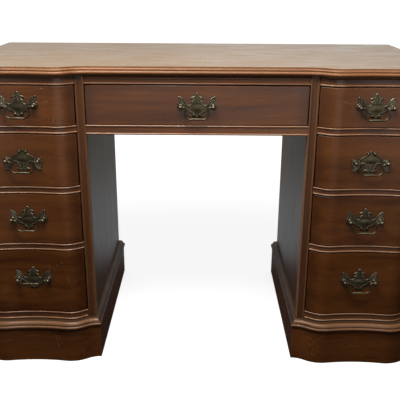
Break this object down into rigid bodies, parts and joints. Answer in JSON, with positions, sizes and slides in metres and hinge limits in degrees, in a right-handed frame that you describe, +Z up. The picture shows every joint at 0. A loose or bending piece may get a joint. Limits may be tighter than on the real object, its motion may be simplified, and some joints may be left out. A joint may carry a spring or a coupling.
{
  "type": "pedestal desk",
  "caption": "Pedestal writing desk with serpentine drawer fronts on both pedestals, a flat drawer over the kneehole, moulded top and base, and brass bail pulls.",
  "frame": {"origin": "on the floor, at the middle of the desk's box", "axes": "+X to the user's right along the desk's length, +Y from the user to the back, +Z up"},
  "size_m": [1.17, 0.5688, 0.762],
  "materials": {
    "mahogany": "satin lacquer",
    "drawer_wood": "bare, planed",
    "antique_brass": "darkened, rubbed bright on the high spots"
  },
  "bodies": {
    "carcass": {"desk_top": "mahogany", "left_outer_panel": "mahogany", "left_inner_panel": "mahogany", "left_back_panel": "drawer_wood", "right_outer_panel": "mahogany", "right_inner_panel": "mahogany", "right_back_panel": "drawer_wood", "left_stiles": "mahogany", "right_stiles": "mahogany", "left_drawer_rails": "mahogany", "right_drawer_rails": "mahogany", "kneehole_top_rail": "mahogany", "kneehole_lower_rail": "mahogany", "left_drawer_runners": "drawer_wood", "right_drawer_runners": "drawer_wood", "bottom_boards": "drawer_wood", "kneehole_runners": "drawer_wood", "kneehole_back_rail": "mahogany", "top_cleats": "drawer_wood", "left_base_moulding": "mahogany", "right_base_moulding": "mahogany", "left_plinth": "mahogany", "right_plinth": "mahogany", "plinth_blocks": "drawer_wood"},
    "left_top_drawer": {"left_top_drawer_front": "mahogany", "left_top_drawer_box": "drawer_wood", "left_top_pull_plate": "antique_brass"},
    "left_top_handle": {"left_top_bail": "antique_brass"},
    "left_second_drawer": {"left_second_drawer_front": "mahogany", "left_second_drawer_box": "drawer_wood", "left_second_pull_plate": "antique_brass"},
    "left_second_handle": {"left_second_bail": "antique_brass"},
    "left_third_drawer": {"left_third_drawer_front": "mahogany", "left_third_drawer_box": "drawer_wood", "left_third_pull_plate": "antique_brass"},
    "left_third_handle": {"left_third_bail": "antique_brass"},
    "left_bottom_drawer": {"left_bottom_drawer_front": "mahogany", "left_bottom_drawer_box": "drawer_wood", "left_bottom_pull_plate": "antique_brass"},
    "left_bottom_handle": {"left_bottom_bail": "antique_brass"},
    "right_top_drawer": {"right_top_drawer_front": "mahogany", "right_top_drawer_box": "drawer_wood", "right_top_pull_plate": "antique_brass"},
    "right_top_handle": {"right_top_bail": "antique_brass"},
    "right_second_drawer": {"right_second_drawer_front": "mahogany", "right_second_drawer_box": "drawer_wood", "right_second_pull_plate": "antique_brass"},
    "right_second_handle": {"right_second_bail": "antique_brass"},
    "right_third_drawer": {"right_third_drawer_front": "mahogany", "right_third_drawer_box": "drawer_wood", "right_third_pull_plate": "antique_brass"},
    "right_third_handle": {"right_third_bail": "antique_brass"},
    "right_bottom_drawer": {"right_bottom_drawer_front": "mahogany", "right_bottom_drawer_box": "drawer_wood", "right_bottom_pull_plate": "antique_brass"},
    "right_bottom_handle": {"right_bottom_bail": "antique_brass"},
    "centre_drawer": {"centre_drawer_front": "mahogany", "centre_drawer_box": "drawer_wood", "centre_pull_plate": "antique_brass"},
    "centre_handle": {"centre_bail": "antique_brass"}
  },
  "joints": [
    {"name": "left_top_drawer_slide", "type": "slide", "parent": "carcass", "child": "left_top_drawer", "axis": [0, -1, 0], "range_m": [0, 0.33]},
    {"name": "left_top_bail_swing", "type": "hinge", "parent": "left_top_drawer", "child": "left_top_handle", "pos_m": [-0.414, -0.25483, 0.67375], "axis": [-1, 0, 0], "range_deg": [-15, 190]},
    {"name": "left_second_drawer_slide", "type": "slide", "parent": "carcass", "child": "left_second_drawer", "axis": [0, -1, 0], "range_m": [0, 0.33]},
    {"name": "left_second_bail_swing", "type": "hinge", "parent": "left_second_drawer", "child": "left_second_handle", "pos_m": [-0.414, -0.25483, 0.542], "axis": [-1, 0, 0], "range_deg": [-15, 190]},
    {"name": "left_third_drawer_slide", "type": "slide", "parent": "carcass", "child": "left_third_drawer", "axis": [0, -1, 0], "range_m": [0, 0.33]},
    {"name": "left_third_bail_swing", "type": "hinge", "parent": "left_third_drawer", "child": "left_third_handle", "pos_m": [-0.414, -0.25483, 0.3925], "axis": [-1, 0, 0], "range_deg": [-15, 190]},
    {"name": "left_bottom_drawer_slide", "type": "slide", "parent": "carcass", "child": "left_bottom_drawer", "axis": [0, -1, 0], "range_m": [0, 0.33]},
    {"name": "left_bottom_bail_swing", "type": "hinge", "parent": "left_bottom_drawer", "child": "left_bottom_handle", "pos_m": [-0.414, -0.25483, 0.2288], "axis": [-1, 0, 0], "range_deg": [-117, 88]},
    {"name": "right_top_drawer_slide", "type": "slide", "parent": "carcass", "child": "right_top_drawer", "axis": [0, -1, 0], "range_m": [0, 0.33]},
    {"name": "right_top_bail_swing", "type": "hinge", "parent": "right_top_drawer", "child": "right_top_handle", "pos_m": [0.414, -0.25483, 0.67375], "axis": [-1, 0, 0], "range_deg": [-15, 190]},
    {"name": "right_second_drawer_slide", "type": "slide", "parent": "carcass", "child": "right_second_drawer", "axis": [0, -1, 0], "range_m": [0, 0.33]},
    {"name": "right_second_bail_swing", "type": "hinge", "parent": "right_second_drawer", "child": "right_second_handle", "pos_m": [0.414, -0.25483, 0.542], "axis": [-1, 0, 0], "range_deg": [-15, 190]},
    {"name": "right_third_drawer_slide", "type": "slide", "parent": "carcass", "child": "right_third_drawer", "axis": [0, -1, 0], "range_m": [0, 0.33]},
    {"name": "right_third_bail_swing", "type": "hinge", "parent": "right_third_drawer", "child": "right_third_handle", "pos_m": [0.414, -0.25483, 0.3925], "axis": [-1, 0, 0], "range_deg": [-15, 190]},
    {"name": "right_bottom_drawer_slide", "type": "slide", "parent": "carcass", "child": "right_bottom_drawer", "axis": [0, -1, 0], "range_m": [0, 0.33]},
    {"name": "right_bottom_bail_swing", "type": "hinge", "parent": "right_bottom_drawer", "child": "right_bottom_handle", "pos_m": [0.414, -0.25483, 0.2288], "axis": [-1, 0, 0], "range_deg": [-15, 190]},
    {"name": "centre_drawer_slide", "type": "slide", "parent": "carcass", "child": "centre_drawer", "axis": [0, -1, 0], "range_m": [0, 0.33]},
    {"name": "centre_bail_swing", "type": "hinge", "parent": "centre_drawer", "child": "centre_handle", "pos_m": [0, -0.23849, 0.67035], "axis": [-1, 0, 0], "range_deg": [-15, 190]}
  ]
}
